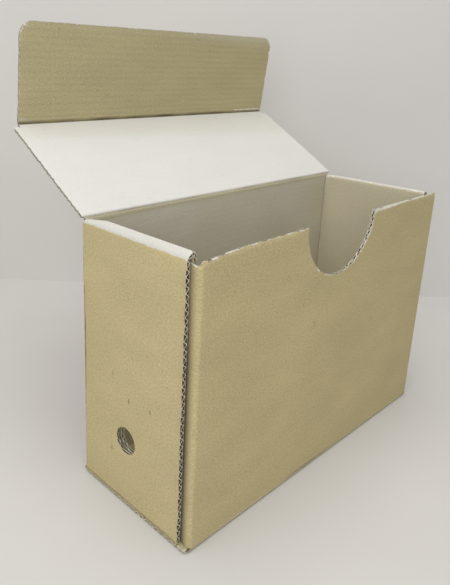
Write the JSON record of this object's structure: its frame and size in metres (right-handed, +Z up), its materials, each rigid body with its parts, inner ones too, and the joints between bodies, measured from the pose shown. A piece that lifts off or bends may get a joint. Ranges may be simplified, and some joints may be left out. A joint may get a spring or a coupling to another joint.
{
  "type": "corrugated mailer box with tuck lid",
  "caption": "Upright corrugated board box with turned-over side walls, a finger notch in the front, a round hole in one side, and a hinged lid with a tuck flap.",
  "frame": {"origin": "centre of the base, on the ground", "axes": "+X right along the front wall, +Y towards the hinged back, +Z up"},
  "size_m": [0.477, 0.325, 0.5243],
  "materials": {
    "kraft_board": "matt kraft liner, fine fibre flecks",
    "pale_liner": "matt pale inner liner"
  },
  "bodies": {
    "box": {"bottom_panel": "kraft_board", "front_wall": "kraft_board", "back_wall": "kraft_board", "front_bottom_crease": "kraft_board", "back_bottom_crease": "kraft_board", "left_outer_wall": "kraft_board", "left_inner_wall": "kraft_board", "left_cap_outer_crease": "kraft_board", "left_cap_inner_crease": "kraft_board", "left_rollover_cap": "kraft_board", "front_left_flap": "kraft_board", "front_left_crease": "kraft_board", "back_left_crease": "kraft_board", "right_outer_wall": "kraft_board", "right_inner_wall": "kraft_board", "right_cap_outer_crease": "kraft_board", "right_cap_inner_crease": "kraft_board", "right_rollover_cap": "kraft_board", "front_right_flap": "kraft_board", "front_right_crease": "kraft_board", "back_right_crease": "kraft_board", "lid_crease": "pale_liner"},
    "lid": {"lid_panel": "pale_liner", "tuck_crease": "pale_liner"},
    "tuck": {"tuck_flap": "pale_liner"}
  },
  "joints": [
    {"name": "lid_fold", "type": "hinge", "parent": "box", "child": "lid", "pos_m": [0, 0.088, 0.32], "axis": [1, 0, 0], "range_deg": [-70, 140]},
    {"name": "tuck_fold", "type": "hinge", "parent": "lid", "child": "tuck", "pos_m": [0, 0.23349, 0.404], "axis": [1, 0, 0], "range_deg": [-67, 31]}
  ]
}
